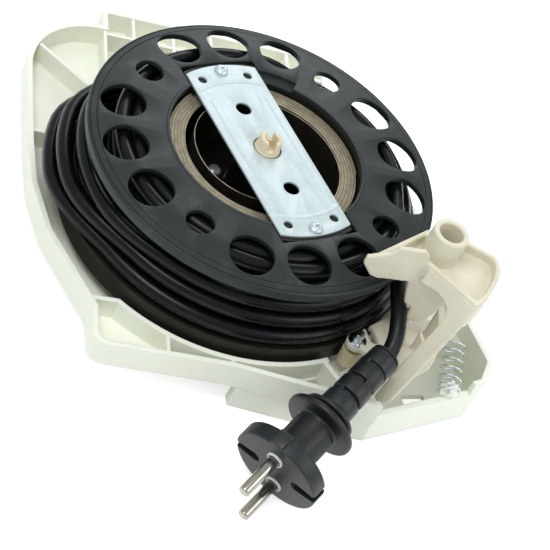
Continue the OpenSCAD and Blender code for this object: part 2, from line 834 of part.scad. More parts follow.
module plug_moulding() {
    color(CORD_BLACK) plug_frame() difference() {
        union() {
            plug_round(0, face_t, face_r);
            translate([-face_t - neck_flare, 0, 0]) rotate([0, 90, 0])
                cylinder(r1 = neck_r, r2 = neck_r + neck_flare, h = neck_flare + EPS);
            plug_round(big_disc_from, big_disc_from + big_disc_t, big_disc_r);
            plug_round(face_t - 1, relief_from, neck_r);
            plug_round(small_disc_from, small_disc_from + small_disc_t, small_disc_r);
            translate([-6, -3, face_r - 1]) cube([4, 6, 2]);
        }
        for (s = [-1, 1]) {
            translate([-face_t - 1, s * (face_r - 5) - 6, -2]) cube([face_t + 2, 12, 4]);
            translate([0, 0, s * pin_pitch / 2]) {
                plug_round(-1, pin_seat, plug_pin_r - pin_step + FIT);
                plug_round(-1, collar_in, collar_r + FIT);
            }
        }
    }
}

module plug_pins() {
    color(BRASS) plug_frame() for (s = [-1, 1]) translate([0, 0, s * pin_pitch / 2]) {
        plug_round(-plug_pin_len + 1, -collar_out, plug_pin_r);
        plug_round(-collar_out - EPS, pin_seat, plug_pin_r - pin_step);
        translate([plug_pin_len - 1, 0, 0]) rotate([0, 90, 0])
            cylinder(r1 = plug_pin_r, r2 = plug_pin_r - 1, h = 1);
    }
}

module pin_collars() {
    color(WHITE) plug_frame() for (s = [-1, 1]) translate([0, 0, s * pin_pitch / 2]) difference() {
        plug_round(-collar_out, collar_in, collar_r);
        plug_round(-collar_out - 1, collar_in + 1, plug_pin_r - pin_step + FIT);
    }
}

module strain_relief() {
    part_len = (plug_len - relief_from) / relief_parts;
    color(CORD_BLACK) plug_frame() {
        plug_round(relief_from, plug_len, relief_end_r - 1.2);
        for (i = [0:relief_parts - 1]) {
            r = relief_r - (relief_r - relief_end_r) * i / (relief_parts - 1);
            plug_round(relief_from + i * part_len, relief_from + (i + 1) * part_len - 1.4, r);
        }
        plug_round(plug_len - 1.4, plug_len, relief_end_r - 0.3);
    }
}

// ---- Brake lever ----

// The lever's top as seen from above
lever_top_plan = [front_from, slant_left, slant_right, [81.5, -75.5], [87.3, -65.5], [89.2, -60],
    [89.2, -55.5], [87.8, -52.2], [77.3, -47.6], [59.7, -44.6]];

module lever_top() {
    translate([0, 0, skirt_z]) linear_extrude(rim_z - skirt_z) difference() {
        polygon(lever_top_plan);
        offset(delta = -lever_wall) polygon(lever_top_plan);
    }
    translate([0, 0, top_floor_z - lever_wall]) linear_extrude(lever_wall) polygon(lever_top_plan);
}

// Raised front fin of the lever's nose
module front_fin() {
    on_front_wall() translate([0, 0, -lever_wall]) linear_extrude(lever_wall)
        polygon([[0.5, 76], [5.5, 70], [8.5, 68.6], [24, 68], [26.5, 70], [26.5, 83], [24, 85.5],
                 [12.3, 86.4], [10.5, 84], [9, 82.4], [0.5, 80]]);
}

// Tab that hangs beside the cord
module hanging_tab() {
    top = top_floor_z - lever_wall / 2;
    translate([0, pivot_y - 7, 0]) rotate([90, 0, 0]) linear_extrude(lever_wall)
        polygon([[54.4, top], [54, skirt_z + 1], [64.2, 46.2], [65.6, 44.6], [69.8, 44.8],
                 [71, 48.6], [74.6, 58.6], [82, skirt_z + 1], [82, top]]);
}

// Slanted front right wall of the lever's top, which runs on down as the arm
module lever_arm() {
    a = [slant_left[0], slant_left[1], rim_z];
    u = unit([slant_right[0] - slant_left[0], slant_right[1] - slant_left[1], 0]);
    n = unit(cross(slant_foot - a, u));
    v = cross(n, u);
    multmatrix([[u[0], v[0], n[0], a[0]], [u[1], v[1], n[1], a[1]], [u[2], v[2], n[2], a[2]]])
        translate([0, 0, -arm_t]) linear_extrude(arm_t)
            polygon([[2, -2], [2, -8.9], [10.4, -7.5], [14.4, -8.4], [16.8, -10.2], [18.3, -13.5],
                     [18, -22], [15.6, -40], [14.5, -61.6], [16, -63], [19, -63], [21.2, -59],
                     [26.1, -10], [26, -2]]);
}

module lower_plate() {
    at = roller_at;
    translate([0, 0, lever_z]) linear_extrude(lever_t) polygon([at + [-1.9, 2.6], pivot + [-3, 2],
        pivot + [3, 2], pivot + [9, -24], [67, -83.5], [59, -84.5], [53, -78],
        at + [1, -3.4]]);
    translate([at[0], at[1], lever_z]) cylinder(r = roller_pin_r + 2.2, h = lever_t);
    translate([pivot_x, pivot_y, eye_z]) cylinder(r = eye_r, h = eye_h);
}

// Places children in the upright plane of the lever's front wall
module on_front_wall() {
    translate([front_from[0], front_from[1], 0]) rotate(front_turn) rotate([90, 0, 0])
        children();
}

module brake_lever() {
    color(LEVER_CREAM) difference() {
        union() {
            difference() {
                lever_top();
                // Sloping underside of the nose
                on_front_wall() translate([0, 0, -30]) linear_extrude(40)
                    polygon([[-5, 60], [24, 60], [24, 67.6], [8.5, 68.4], [5.5, 69.8], [0.3, 76],
                             [-5, 76]]);
                // Raised lower edge of the slanted side
                translate([slant_left[0], slant_left[1], 60]) rotate(slant_turn)
                    translate([0.6, -1, 0]) cube([20, lever_wall + 2, slant_skirt_z - 60]);
            }
            front_fin();
            hanging_tab();
            lever_arm();
            lower_plate();
            translate([pivot_x, pivot_y, top_floor_z - 4])
                cylinder(r = top_boss_r, h = boss_top - top_floor_z + 4);
        }
        translate([pivot_x, pivot_y, top_floor_z - 5]) cylinder(r = top_bore_r, h = 40);
        translate([pivot_x, pivot_y, eye_z - 1]) cylinder(r = pin_r + pin_gap, h = eye_h + 2);
        translate([roller_at[0], roller_at[1], lever_z - 1])
            cylinder(r = roller_pin_r + FIT, h = lever_t + 2);
        // Slanted slot beside the roller's pin
        translate([51.6, -64.5, lever_z - 1]) rotate(-75) {
            translate([-3, -1.7, 0]) cube([6, 3.4, lever_t + 2]);
            for (x = [-3, 3]) translate([x, 0, 0]) cylinder(r = 1.7, h = lever_t + 2, $fn = 32);
        }
    }
}

module lever_pivot_pin() {
    color(STEEL) translate([pivot_x, pivot_y, floor_t])
        cylinder(r = pin_r, h = pivot_pin_top - floor_t);
}

// A clip ring with an open side
module clip(r_in, r_out) {
    difference() {
        ring(r_out, r_in, 0, clip_t);
        translate([0, -r_in * 0.6, -1]) cube([r_out + 1, r_in * 1.2, clip_t + 2]);
    }
}

module pivot_clip() {
    color(STEEL) translate([pivot_x, pivot_y, pivot_pin_top - clip_t - 0.8])
        clip(pin_r + FIT, pin_r + 2.2);
}

twist_z = eye_top + 0.3 + twist_wire / 2;
twist_step = twist_wire + 0.45;

module lever_spring() {
    count = 8 * twist_turns;
    coil = [for (i = [0:count]) let (a = 270 + 360 * i / 8)
        [pivot_x + twist_r * cos(a), pivot_y + twist_r * sin(a), twist_z + twist_step * i / 8]];
    leg_in = [[pivot_x - 10, coil[0][1], twist_z], [pivot_x - 3, coil[0][1], twist_z]];
    leg_out = [[pivot_x + 3, last(coil)[1], last(coil)[2]],
               [pivot_x + 13, last(coil)[1], last(coil)[2]]];
    route = concat(leg_in, coil, leg_out);
    echo(least_gap_of_lever_spring = least_gap(route, 6) - twist_wire);
    color(STEEL) tube(route, twist_wire / 2);
}

module return_spring() {
    side = unit(cross(peg_dir, UP));
    other = cross(side, peg_dir);
    start = peg_at + 0.4 * peg_dir;
    count = 8 * coil_turns;
    coil = [for (i = [0:count]) let (a = 90 + 360 * i / 8)
        start + coil_r * (cos(a) * side + sin(a) * other) + (coil_seat + coil_len * i / count) * peg_dir];
    echo(least_gap_of_return_spring = least_gap(coil, 6) - coil_wire);
    color(STEEL) tube(coil, coil_wire / 2, 6, peg_dir);
}

module roller_pin() {
    color(STEEL) translate([roller_at[0], roller_at[1], roller_z - 1.4]) {
        cylinder(r = roller_pin_r, h = lever_top + pin_over - roller_z + 1.4, $fn = 40);
        cylinder(r = roller_pin_r + 1, h = 0.8, $fn = 40);
    }
}

module roller_clip() {
    color(STEEL) translate([roller_at[0], roller_at[1], lever_top]) rotate(-60)
        clip(roller_pin_r + FIT, roller_pin_r + 1.9);
}

module brake_roller() {
    color(TAN) translate([roller_at[0], roller_at[1], 0])
        ring(roller_r, roller_pin_r + pin_gap, roller_z, roller_z + roller_h);
}

tray();
axle();
axle_screws();
thrust_washer();
spring_arbor();
brush_holder();
holder_screws();
contact_brushes();
power_tabs();
lever_pivot_pin();
pivot_clip();
lever_spring();
return_spring();
cord_lead();
strain_relief();
plug_moulding();
plug_pins();
pin_collars();
drum_hub();
slip_ring_carrier();
slip_rings();
carrier_screws();
upper_flange();
bridge_plate();
bridge_screws();
spiral_spring();
cord_core();
cord_winding();
brake_lever();
roller_pin();
roller_clip();
brake_roller();
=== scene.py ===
"""Looks of the spring cord rewinder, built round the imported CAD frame, in metres."""
import math

import bmesh
import bpy
import numpy as np
from mathutils import Matrix, Vector


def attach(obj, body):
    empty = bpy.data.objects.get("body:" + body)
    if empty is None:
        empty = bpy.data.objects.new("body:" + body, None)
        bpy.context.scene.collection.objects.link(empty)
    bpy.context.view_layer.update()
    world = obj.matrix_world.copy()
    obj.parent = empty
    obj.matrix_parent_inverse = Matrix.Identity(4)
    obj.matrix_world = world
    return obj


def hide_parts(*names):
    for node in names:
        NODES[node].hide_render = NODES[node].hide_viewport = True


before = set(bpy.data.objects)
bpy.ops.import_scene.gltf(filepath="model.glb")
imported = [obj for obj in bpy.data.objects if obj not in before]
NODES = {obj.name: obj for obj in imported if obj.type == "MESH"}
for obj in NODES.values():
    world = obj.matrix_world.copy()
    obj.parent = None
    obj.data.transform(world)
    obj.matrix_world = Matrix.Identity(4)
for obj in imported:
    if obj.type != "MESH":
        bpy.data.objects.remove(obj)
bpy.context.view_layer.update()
MM = 0.001

# For a prism drawn flat: its height goes along X, or its outline stands in the XZ plane
ALONG_X = Matrix(((0, 0, 1, 0), (1, 0, 0, 0), (0, 1, 0, 0), (0, 0, 0, 1)))
UPRIGHT = Matrix(((1, 0, 0, 0), (0, 0, 1, 0), (0, 1, 0, 0), (0, 0, 0, 1)))
# Turns a lathe's Z into X
Z_TO_X = Matrix.Rotation(math.radians(90), 4, "Y")

# ---- Camera ----

CAM_RIGHT = Vector((0.934, -0.078, 0.349))
CAM_UP = Vector((-0.176, 0.750, 0.638))
CAM_AT = Vector((-0.2381, -0.5675, 0.5834))
SENSOR_MM, LENS_MM = 36.0, 127.9


def make_camera():
    """The photograph's viewpoint, from directions that were measured in it."""
    back = CAM_RIGHT.cross(CAM_UP).normalized()
    right = CAM_UP.cross(back).normalized()
    up = back.cross(right)
    turn = Matrix((right, up, back)).transposed().to_4x4()
    data = bpy.data.cameras.new("camera")
    data.sensor_width = SENSOR_MM
    data.lens = LENS_MM
    data.clip_start = 0.02
    data.clip_end = 20
    cam = bpy.data.objects.new("camera", data)
    bpy.context.scene.collection.objects.link(cam)
    cam.matrix_world = Matrix.Translation(CAM_AT) @ turn
    bpy.context.scene.camera = cam


# ---- Materials ----

def linear(rgb):
    """A colour of 0 to 255 per channel as linear RGBA."""
    return tuple((c / 12.92 if c <= 0.04045 else ((c + 0.055) / 1.055) ** 2.4)
                 for c in (v / 255 for v in rgb)) + (1.0,)


def mix_colour(nt, fac, a, b):
    n = nt.nodes.new("ShaderNodeMix")
    n.data_type = "RGBA"
    n.clamp_factor = True
    for socket, v in ((n.inputs[0], fac), (n.inputs[6], a), (n.inputs[7], b)):
        if isinstance(v, bpy.types.NodeSocket):
            nt.links.new(v, socket)
        else:
            socket.default_value = v
    return n.outputs[2]


def ramp(nt, fac, lo, hi, a=0.0, b=1.0):
    """Maps fac from lo..hi to a..b."""
    n = nt.nodes.new("ShaderNodeMapRange")
    n.inputs["From Min"].default_value = lo
    n.inputs["From Max"].default_value = hi
    n.inputs["To Min"].default_value = a
    n.inputs["To Max"].default_value = b
    nt.links.new(fac, n.inputs["Value"])
    return n.outputs["Result"]


def noise(nt, where, scale, detail=4.0, rough=0.55):
    n = nt.nodes.new("ShaderNodeTexNoise")
    n.inputs["Scale"].default_value = scale
    n.inputs["Detail"].default_value = detail
    n.inputs["Roughness"].default_value = rough
    nt.links.new(where, n.inputs["Vector"])
    return n.outputs["Fac"]


def material(name, light, dark, rough, *, patch=40.0, grain=900.0, bump=0.12, depth=0.0001,
             metal=0.0, edge=0.0004, soft=None, spec=0.5, dust=None, rings=None):
    """A procedural finish: patches between two colours, fine grain, rounded edges and wear.

    dust is the wear's colour, scale, threshold and strength; rings: pitch of painted shade lines
    between wound layers.
    """
    m = bpy.data.materials.new(name)
    m.use_nodes = True
    nt = m.node_tree
    shader = nt.nodes["Principled BSDF"]
    coord = nt.nodes.new("ShaderNodeTexCoord").outputs["Object"]
    big = noise(nt, coord, patch)
    fine = noise(nt, coord, grain, 3.0)
    colour = mix_colour(nt, ramp(nt, big, 0.35, 0.65), linear(dark), linear(light))
    if dust:
        tint, scale, threshold, strength = dust
        specks = noise(nt, coord, scale, 6.0, 0.7)
        colour = mix_colour(nt, ramp(nt, specks, threshold, threshold + 0.12, 0, strength),
                            colour, linear(tint))
    if rings:
        # dark rings of painted shade, standing for the shaded gaps between the wound layers
        wave = nt.nodes.new("ShaderNodeTexWave")
        wave.wave_type = "RINGS"
        wave.rings_direction = "Z"
        wave.inputs["Scale"].default_value = 2 * math.pi / (20 * rings)
        wave.inputs["Distortion"].default_value = 6
        wave.inputs["Detail Scale"].default_value = 0.3
        nt.links.new(coord, wave.inputs["Vector"])
        shadow = tuple(0.45 * c for c in linear(dark)[:3]) + (1.0,)
        colour = mix_colour(nt, ramp(nt, wave.outputs["Fac"], 0, 0.45, 0.75, 0), colour, shadow)
    nt.links.new(colour, shader.inputs["Base Color"])
    nt.links.new(ramp(nt, fine, 0.3, 0.7, rough - 0.06, rough + 0.08), shader.inputs["Roughness"])
    shader.inputs["Metallic"].default_value = metal
    shader.inputs["Specular IOR Level"].default_value = spec
    if soft:
        shader.inputs["Subsurface Weight"].default_value = soft
        shader.inputs["Subsurface Radius"].default_value = (1.0, 0.85, 0.55)
        shader.inputs["Subsurface Scale"].default_value = 0.002
    b = nt.nodes.new("ShaderNodeBump")
    b.inputs["Strength"].default_value = bump
    b.inputs["Distance"].default_value = depth
    nt.links.new(fine, b.inputs["Height"])
    if edge:
        bevel = nt.nodes.new("ShaderNodeBevel")
        bevel.samples = 4
        bevel.inputs["Radius"].default_value = edge
        nt.links.new(bevel.outputs["Normal"], b.inputs["Normal"])
    nt.links.new(b.outputs["Normal"], shader.inputs["Normal"])
    return m


def make_materials():
    """Every finish of the part, by the short name that the pieces ask for."""
    return {
        "tray": material("tray_moulding", (244, 246, 233), (238, 240, 225), 0.5, patch=14,
                         grain=500, bump=0.05, soft=0.2, edge=0.0006),
        "lever": material("lever_moulding", (219, 214, 194), (209, 203, 181), 0.5, patch=60,
                          grain=700, bump=0.1, soft=0.15, edge=0.0007,
                          dust=((150, 135, 110), 260, 0.74, 0.4)),
        "axle": material("axle_moulding", (224, 211, 182), (208, 193, 160), 0.5, patch=90,
                         grain=900, bump=0.1, soft=0.1, edge=0.0005,
                         dust=((140, 122, 92), 400, 0.7, 0.5)),
        "flange": material("flange_moulding", (36, 42, 41), (29, 34, 34), 0.42, patch=26,
                           grain=1400, bump=0.2, depth=0.0001, edge=0.0005, spec=0.3,
                           dust=((66, 75, 74), 48, 0.56, 0.4)),
        "hub": material("hub_moulding", (30, 30, 24), (21, 21, 17), 0.45, patch=50, grain=900,
                        bump=0.15, edge=0.0005, spec=0.3),
        "cord": material("cord_sheath", (9, 12, 14), (6, 9, 10), 0.26, patch=70, grain=150,
                         bump=0.0, edge=0, spec=0.2),
        "lead": material("lead_sheath", (13, 16, 17), (9, 11, 12), 0.4, patch=70, grain=250,
                         bump=0.0, edge=0, spec=0.3),
        "plug": material("plug_rubber", (30, 34, 36), (20, 23, 25), 0.42, patch=55, grain=1300,
                         bump=0.2, edge=0.0004, spec=0.4,
                         dust=((58, 63, 65), 90, 0.6, 0.4)),
        "grip": material("plug_grip", (40, 45, 47), (28, 32, 34), 0.6, patch=120, grain=1500,
                         bump=0.35, edge=0),
        "zinc_sheet": material("galvanised_sheet", (198, 211, 213), (189, 203, 205), 0.5,
                               patch=120, grain=2200, bump=0.06, metal=0.3, edge=0.0003,
                               dust=((216, 227, 228), 420, 0.55, 0.5)),
        "zinc": material("zinc_screw", (210, 221, 224), (190, 200, 204), 0.36, patch=500,
                         grain=2500, bump=0.12, metal=0.5, edge=0.0002),
        "steel": material("bright_steel", (190, 195, 199), (160, 166, 171), 0.24, patch=300,
                          grain=2400, bump=0.1, metal=1.0, edge=0.0002),
        "band": material("spring_band", (48, 44, 37), (32, 30, 26), 0.45, patch=120, grain=1800,
                         bump=0.2, metal=0.35, edge=0, spec=0.3),
        "band_edge": material("spring_band_edges", (178, 167, 142), (150, 140, 116), 0.55,
                              patch=300, grain=2400, bump=0.3, metal=0.2, edge=0, rings=0.0015),
        "copper": material("copper_strip", (205, 140, 105), (180, 112, 80), 0.3, patch=200,
                           grain=1500, bump=0.1, metal=1.0, edge=0.0002),
        "brass": material("nickel_brass", (196, 188, 170), (172, 163, 144), 0.2, patch=120,
                          grain=2000, bump=0.06, metal=1.0, edge=0.0002),
        "nickel": material("nickel_plate", (178, 174, 163), (150, 146, 135), 0.14, patch=120,
                           grain=2000, bump=0.04, metal=1.0, edge=0.0002),
        "chrome": material("polished_clip", (222, 228, 234), (204, 211, 219), 0.1, patch=300,
                           grain=2400, bump=0.05, metal=1.0, edge=0.0003),
        "white": material("white_insulator", (232, 233, 230), (220, 221, 217), 0.4, patch=200,
                          grain=1500, bump=0.05, edge=0.0002),
        "brown": material("phenolic_board", (96, 68, 48), (78, 54, 38), 0.5, patch=80,
                          grain=900, bump=0.2, edge=0.0003),
        "rubber": material("roller_tyre", (214, 200, 168), (196, 181, 148), 0.6, patch=200,
                           grain=1500, bump=0.3, edge=0.0004),
    }


# ---- Mesh helpers ----

def mesh_object(name, verts, faces, mat, smooth=60):
    mesh = bpy.data.meshes.new(name)
    mesh.from_pydata([tuple(v) for v in verts], [], faces)
    return finish_mesh(name, mesh, mat, smooth)


def finish_mesh(name, mesh, mat, smooth=60):
    """A linked object over a cleaned mesh with its normals outward."""
    bm = bmesh.new()
    bm.from_mesh(mesh)
    bmesh.ops.remove_doubles(bm, verts=bm.verts, dist=1e-7)
    bmesh.ops.recalc_face_normals(bm, faces=bm.faces)
    bm.to_mesh(mesh)
    bm.free()
    mesh.materials.clear()
    mesh.materials.append(mat)
    o = bpy.data.objects.new(name, mesh)
    bpy.context.scene.collection.objects.link(o)
    shade(o, smooth)
    return o


def shade(o, smooth):
    """Smooth shading with sharp edges past an angle in degrees."""
    mesh = o.data
    mesh.polygons.foreach_set("use_smooth", [True] * len(mesh.polygons))
    mesh.set_sharp_from_angle(angle=math.radians(smooth))


def join(name, parts):
    """One mesh object out of several, with all their materials."""
    with bpy.context.temp_override(active_object=parts[0], selected_editable_objects=parts,
                                   object=parts[0], selected_objects=parts):
        bpy.ops.object.join()
    parts[0].name = name
    parts[0].data.name = name
    return parts[0]


def place(o, body, slot, *nodes):
    """Gives a piece its body and hides the CAD nodes that it stands for; slot is not used."""
    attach(o, body)
    if nodes:
        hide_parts(*nodes)
    return o


def apply_modifiers(o):
    bpy.context.view_layer.update()
    done = o.evaluated_get(bpy.context.evaluated_depsgraph_get())
    mesh = bpy.data.meshes.new_from_object(done)
    o.modifiers.clear()
    o.data = mesh
    return o


def cut(o, *cutters):
    """Takes the cutters out of o, and deletes them."""
    for c in cutters:
        m = o.modifiers.new("cut", "BOOLEAN")
        m.operation = "DIFFERENCE"
        m.solver = "EXACT"
        m.object = c
    apply_modifiers(o)
    for c in cutters:
        bpy.data.objects.remove(c)
    return o


def bevelled(o, width, segments=2, angle=40):
    """Rounds the edges of o that are sharper than an angle in degrees; width in metres."""
    m = o.modifiers.new("edge", "BEVEL")
    m.width = width
    m.segments = segments
    m.limit_method = "ANGLE"
    m.angle_limit = math.radians(angle)
    m.use_clamp_overlap = True
    return apply_modifiers(o)


def lathe(name, profile, mat, count=96, base=None, smooth=35):
    """A turned body: profile is (radius, height) in mm round Z, closed on itself or on the axis."""
    verts, faces = [], []
    n = len(profile)
    for k in range(count):
        a = 2 * math.pi * k / count
        verts += [(r * MM * math.cos(a), r * MM * math.sin(a), h * MM) for r, h in profile]
    for k in range(count):
        j = (k + 1) % count
        for i in range(n):
            q = (i + 1) % n
            if profile[i][0] == 0 and profile[q][0] == 0:
                continue
            faces.append((k * n + i, j * n + i, j * n + q, k * n + q))
    mesh = bpy.data.meshes.new(name)
    mesh.from_pydata(verts, [], faces)
    if base is not None:
        mesh.transform(base)
    return finish_mesh(name, mesh, mat, smooth)


def arc_points(r, start, end, count, turn=0):
    """Points in mm on an arc round the origin, from start to end in degrees."""
    return [(r * math.cos(math.radians(a + turn)), r * math.sin(math.radians(a + turn)))
            for a in np.linspace(start, end, count)]


def rounded(points, radius, steps=3):
    """A closed outline in mm whose corners are rounded; a radius per corner or one for all."""
    out = []
    n = len(points)
    for i, p in enumerate(points):
        r = radius[i] if isinstance(radius, (list, tuple)) else radius
        p = Vector(p)
        a, b = Vector(points[i - 1]) - p, Vector(points[(i + 1) % n]) - p
        r = min(r, 0.45 * a.length, 0.45 * b.length)
        if r <= 0:
            out.append(tuple(p))
            continue
        s, e = p + a.normalized() * r, p + b.normalized() * r
        for k in range(steps + 1):
            t = k / steps
            out.append(tuple((1 - t) ** 2 * s + 2 * t * (1 - t) * p + t * t * e))
    return out


def extrude(name, outline, z0, z1, mat, base=None, smooth=40):
    """A straight prism over a 2-D outline, all in mm."""
    n = len(outline)
    verts = [(x * MM, y * MM, z * MM) for z in (z0, z1) for x, y in outline]
    faces = [tuple(range(n))[::-1], tuple(range(n, 2 * n))]
    faces += [(i, (i + 1) % n, n + (i + 1) % n, n + i) for i in range(n)]
    mesh = bpy.data.meshes.new(name)
    mesh.from_pydata(verts, [], faces)
    if base is not None:
        mesh.transform(base)
    return finish_mesh(name, mesh, mat, smooth)


def spline(points, per=8):
    """Catmull-Rom points through a route."""
    p = [Vector(q) for q in points]
    p = [2 * p[0] - p[1]] + p + [2 * p[-1] - p[-2]]
    out = []
    for i in range(1, len(p) - 2):
        for k in range(per):
            t = k / per
            out.append(0.5 * ((2 * p[i]) + (p[i + 1] - p[i - 1]) * t
                              + (2 * p[i - 1] - 5 * p[i] + 4 * p[i + 1] - p[i + 2]) * t * t
                              + (3 * p[i] - p[i - 1] - 3 * p[i + 1] + p[i + 2]) * t ** 3))
    return out + [p[-2]]


def tube(name, route, radius, mat, sides=12, dome=True, flat=1.0):
    """A tube in metres along a route, with rounded ends; flat squeezes it along Z."""
    route = [Vector(q) for q in route]
    radii = [radius] * len(route)
    if dome:
        head = (route[0] - route[1]).normalized()
        tail = (route[-1] - route[-2]).normalized()
        angles = (20, 45, 75)
        route = ([route[0] + head * radius * math.sin(math.radians(a)) for a in angles[::-1]]
                 + route + [route[-1] + tail * radius * math.sin(math.radians(a)) for a in angles])
        caps = [radius * math.cos(math.radians(a)) for a in angles]
        radii = caps[::-1] + radii + caps
    verts, faces = [], []
    n = len(route)
    side = None
    for i in range(n):
        t = (route[min(i + 1, n - 1)] - route[max(i - 1, 0)]).normalized()
        if side is None:
            side = t.cross(Vector((0, 0, 1)))
            if side.length < 1e-6:
                side = t.cross(Vector((1, 0, 0)))
        side = (side - t * side.dot(t)).normalized()
        up = side.cross(t)
        for k in range(sides):
            a = 2 * math.pi * k / sides
            d = side * math.cos(a) + up * math.sin(a)
            d.z *= flat
            verts.append(route[i] + d * radii[i])
    for i in range(n - 1):
        for k in range(sides):
            j = (k + 1) % sides
            faces.append((i * sides + k, i * sides + j, (i + 1) * sides + j, (i + 1) * sides + k))
    faces.append(tuple(range(sides))[::-1])
    faces.append(tuple((n - 1) * sides + k for k in range(sides)))
    return mesh_object(name, verts, faces, mat, 70)


def copy_node(node, name, mat):
    """A free copy of a CAD node, which itself is never changed."""
    mesh = NODES[node].data.copy()
    mesh.name = name
    return finish_mesh(name, mesh, mat, 35)


def at(x, y, z):
    """A shift in mm."""
    return Matrix.Translation((x * MM, y * MM, z * MM))


def turn_z(deg):
    return Matrix.Rotation(math.radians(deg), 4, "Z")


# ---- Cord ----

CORD_R = 3.4
# Direction in which the cord leaves the drum, and radius and height of that turn's line
WIND_EXIT_TURN = -9
WIND_TOP = (65.1, 53.0)
# The plug: its direction, its face's centre, and its length from face to the relief's end
PLUG_AXIS_YAW, PLUG_DIP, PLUG_ROLL = 228.3, 18.3, 9.6
PLUG_FACE = (9.2, -130.2, 19)
PLUG_LEN = 69.5
NECK_LEN = 35.5
PIN_R, PIN_LEN, PIN_OFFSET = 2.4, 19, 9.5


def plug_matrix():
    """Plug frame: X points out of the face along the pins."""
    return (at(*PLUG_FACE) @ Matrix.Rotation(math.radians(PLUG_AXIS_YAW), 4, "Z")
            @ Matrix.Rotation(math.radians(PLUG_DIP), 4, "Y")
            @ Matrix.Rotation(math.radians(PLUG_ROLL), 4, "X"))


def plug_lathe_base():
    """Turns a lathe's Z into the plug frame's X."""
    return plug_matrix() @ Z_TO_X


def pin_base(s):
    """Where a pin leaves the face; a lathe's Z points out along the pin."""
    return plug_matrix() @ at(0, 0, s * PIN_OFFSET) @ Z_TO_X


def cord_exit():
    """Point on the top turn where the free cord leaves the drum, and the direction it takes."""
    a = math.radians(WIND_EXIT_TURN)
    point = Vector((WIND_TOP[0] * math.cos(a), WIND_TOP[0] * math.sin(a), WIND_TOP[1]))
    return point, Vector((math.sin(a), -math.cos(a), 0))


def lead_route():
    """The free cord's line from the drum, in front of the lever, into the strain relief."""
    axis = plug_matrix().to_3x3() @ Vector((1, 0, 0))
    leaves, out = cord_exit()
    start = leaves + 2 * CORD_R * out
    end = Vector(PLUG_FACE) - PLUG_LEN * axis
    pts = [start, start + 2 * CORD_R * out, (60.6, -36, 52.6), (59.2, -44, 51.6),
           (58, -52, 50.4), (57.6, -62, 48.7), (57, -69.5, 46.8), (56.1, -75, 44.3),
           end - CORD_R / 2 * axis, end]
    return [Vector(p) * MM for p in pts]


def make_lead(mats):
    route = spline(lead_route(), 4)
    o = tube("free_cord", route, CORD_R * MM, mats["lead"], 24, dome=False)
    place(o, "housing", "cord_black", "cord_lead")
    return o, route


# Turns of the cord on the drum: (radius, height) of each turn's line
INNER_TURNS = [(53.6, 57), (53.6, 50.1), (53.6, 43.2), (53.6, 36.3), (55.0, 32.6), (60.6, 36.4),
               (60.4, 43.4), (60.2, 50.3), (60.4, 57.1)]
OUTER_TURNS = [(65.1, 53.0), (69.1, 46.9), (71.6, 40.2), (74.0, 33.2)]
BETWEEN_TURN = (67.4, 34.4)
# Where in its turn, in degrees, the line crosses over to the next one
CROSS_FROM, CROSS_TO = 40, 95
# Degrees between two points of the line, and how far it wanders off its circle
WIND_STEP, SWAY = 4, 0.35
# Loose outer turns stand out on the left: by how much, and between which directions
BULGES = ((4.2, 134, 238), (8.0, 134, 224), (10.0, 134, 218), (6.0, 136, 217))
RISE_OVER, FALL_OVER = 30, 34


def smooth(t):
    """A soft step from 0 to 1."""
    t = min(max(t, 0), 1)
    return t * t * (3 - 2 * t)


def bulge(k, azimuth):
    """How far turn k stands out at a direction in degrees."""
    if k >= len(BULGES):
        return 0
    most, start, end = BULGES[k]
    return most * smooth((azimuth - start) / RISE_OVER) * smooth((end - azimuth) / FALL_OVER)


def station(turns, k, deg):
    """Radius and height at deg into turn k; the line crosses to the next turn at the back."""
    a = turns[min(k, len(turns) - 1)]
    b = turns[min(k + 1, len(turns) - 1)]
    t = smooth((deg - CROSS_FROM) / (CROSS_TO - CROSS_FROM))
    return a[0] + (b[0] - a[0]) * t, a[1] + (b[1] - a[1]) * t


def winding_route():
    """The whole cord on the drum as one line, from its free exit down and in to the barrel."""
    turns = OUTER_TURNS + [BETWEEN_TURN] + INNER_TURNS[::-1]
    leaves, out = cord_exit()
    pts = [(leaves + 2 * CORD_R * out) * MM, (leaves + CORD_R * out) * MM]
    per_turn = 360 // WIND_STEP
    for i in range(per_turn * len(turns) - 3):
        k, deg = divmod(i, per_turn)
        deg *= WIND_STEP
        r, z = station(turns, k, deg)
        r += bulge(k, WIND_EXIT_TURN + deg)
        sway = SWAY * math.sin(math.radians(2 * deg + 130 * k)) if k else 0
        a = math.radians(WIND_EXIT_TURN + deg)
        pts.append(Vector(((r + sway) * math.cos(a), (r + sway) * math.sin(a), z)) * MM)
    return pts


def make_winding(mats):
    o = tube("drum_winding", winding_route(), CORD_R * MM, mats["cord"], 16)
    return place(o, "drum", "cord_black", "cord_winding", "cord_core")


# ---- Plug ----

